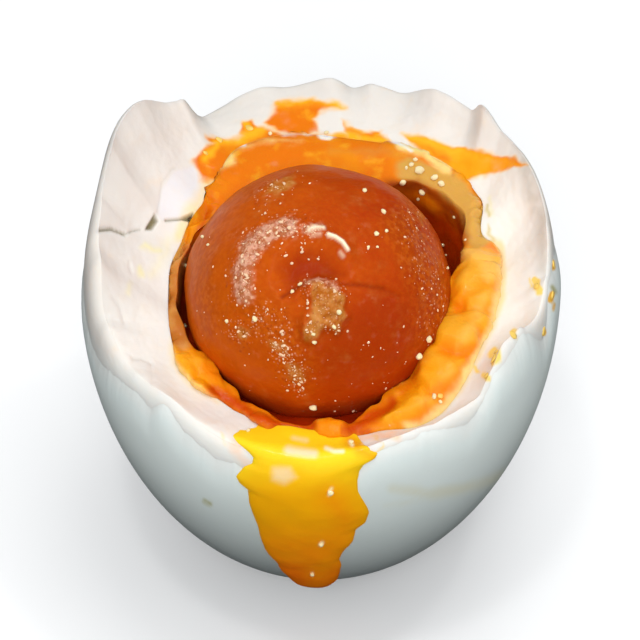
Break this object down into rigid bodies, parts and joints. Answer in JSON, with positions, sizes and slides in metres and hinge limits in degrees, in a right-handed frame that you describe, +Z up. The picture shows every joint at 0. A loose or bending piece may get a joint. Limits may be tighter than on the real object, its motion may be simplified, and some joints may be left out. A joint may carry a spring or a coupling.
{
  "type": "salted duck egg",
  "caption": "Salted duck egg opened at its blunt end: pale blue-green shell, broken white, round red yolk in soft oily curd, and oil running down the front.",
  "frame": {"origin": "middle of the small flat spot at the egg's pointed end, which it stands on", "axes": "+Z up, out of the opened blunt end; -Y towards the side that the oil runs down"},
  "size_m": [0.047, 0.0491, 0.0477],
  "materials": {
    "shell": "eggshell, pale blue-green, satin",
    "white": "cooked salted egg white, ivory, moist",
    "curd": "soft outer yolk, yellow-orange, lumpy and oily",
    "yolk": "firm salted yolk, red-orange, grainy under a film of oil",
    "oil": "dark red yolk oil, wet",
    "run": "golden yolk oil, wet"
  },
  "bodies": {
    "root": {"shell": "shell", "white": "white", "curd": "curd", "yolk": "yolk", "oil": "oil", "run": "run"}
  },
  "joints": []
}
